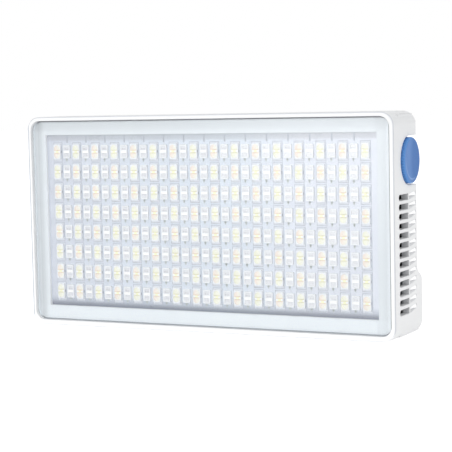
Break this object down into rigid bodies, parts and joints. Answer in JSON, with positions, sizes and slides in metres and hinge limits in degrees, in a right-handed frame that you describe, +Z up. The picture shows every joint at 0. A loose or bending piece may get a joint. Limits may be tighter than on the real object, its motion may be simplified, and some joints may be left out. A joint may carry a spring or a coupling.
{
  "type": "led panel light",
  "caption": "Pocket LED panel light: slim white casing with clear front, grid of LEDs, blue side knob, side vents and a thicker lower back.",
  "frame": {"origin": "mouth of the tripod thread, in the middle of the flat underside", "axes": "+X towards the knob side, -Y the lit front, +Z up"},
  "size_m": [0.1497, 0.0286, 0.0795],
  "materials": {
    "white_plastic": "fine moulded texture, warm white",
    "clear_cover": "clear polished acrylic",
    "frame_white": "satin pale blue-grey white",
    "seal_grey": "soft adhesive foam",
    "board_white": "white solder mask",
    "led_warm": "white package, warm phosphor",
    "led_cool": "white package, cool phosphor",
    "led_rgb": "white package, clear gel",
    "thermal_pad_grey": "soft matt",
    "aluminium_sink": "extruded, anodised black",
    "black_plastic": "moulded black",
    "steel_dark": "zinc plated screws",
    "steel_bright": "bright nickel",
    "board_green": "green solder mask",
    "knob_blue": "satin blue",
    "button_grey": "satin light grey",
    "display_glass": "polished black window",
    "battery_film": "shrink film",
    "foam_grey": "foam tape",
    "insert_brass": "turned"
  },
  "bodies": {
    "housing": {"casing": "white_plastic", "rear_cover": "white_plastic", "front_cover": "clear_cover", "cover_gasket": "seal_grey", "bezel_frame": "frame_white", "led_board": "board_white", "warm_leds": "led_warm", "cool_leds": "led_cool", "rgb_leds": "led_rgb", "thermal_pad": "thermal_pad_grey", "heat_sink": "aluminium_sink", "fan_frame": "black_plastic", "fan_screws": "steel_dark", "control_board": "board_green", "board_screws": "steel_dark", "display_module": "black_plastic", "display_window": "display_glass", "button_switches": "black_plastic", "encoder_body": "black_plastic", "encoder_board": "board_green", "side_board": "board_green", "power_switch": "black_plastic", "usb_c_port": "steel_bright", "battery_cells": "battery_film", "battery_pads": "foam_grey", "tripod_insert": "insert_brass", "case_screws": "steel_dark"},
    "knob": {"side_knob": "knob_blue", "encoder_shaft": "steel_bright"},
    "fan": {"fan_rotor": "black_plastic", "fan_shaft": "steel_bright"},
    "mode_key": {"mode_button": "button_grey"},
    "select_key": {"select_button": "button_grey"},
    "effect_key": {"effect_button": "button_grey"},
    "power_key": {"power_button": "button_grey"}
  },
  "joints": [
    {"name": "knob_turn", "type": "hinge", "parent": "housing", "child": "knob", "pos_m": [0.0732, 0.00144, 0.06225], "axis": [1, 0, 0], "continuous": true},
    {"name": "fan_spin", "type": "hinge", "parent": "housing", "child": "fan", "pos_m": [-0.009, 0.002, 0.0504], "axis": [0, 1, 0], "continuous": true},
    {"name": "mode_press", "type": "slide", "parent": "housing", "child": "mode_key", "axis": [0, -1, 0], "range_m": [0, 0.0003], "stiffness_N_per_m": 400, "springref_m": -0.0004},
    {"name": "select_press", "type": "slide", "parent": "housing", "child": "select_key", "axis": [0, -1, 0], "range_m": [0, 0.0003], "stiffness_N_per_m": 400, "springref_m": -0.0004},
    {"name": "effect_press", "type": "slide", "parent": "housing", "child": "effect_key", "axis": [0, -1, 0], "range_m": [0, 0.0003], "stiffness_N_per_m": 400, "springref_m": -0.0004},
    {"name": "power_press", "type": "slide", "parent": "housing", "child": "power_key", "axis": [1, 0, 0], "range_m": [0, 0.0004], "stiffness_N_per_m": 400, "springref_m": -0.0004}
  ]
}
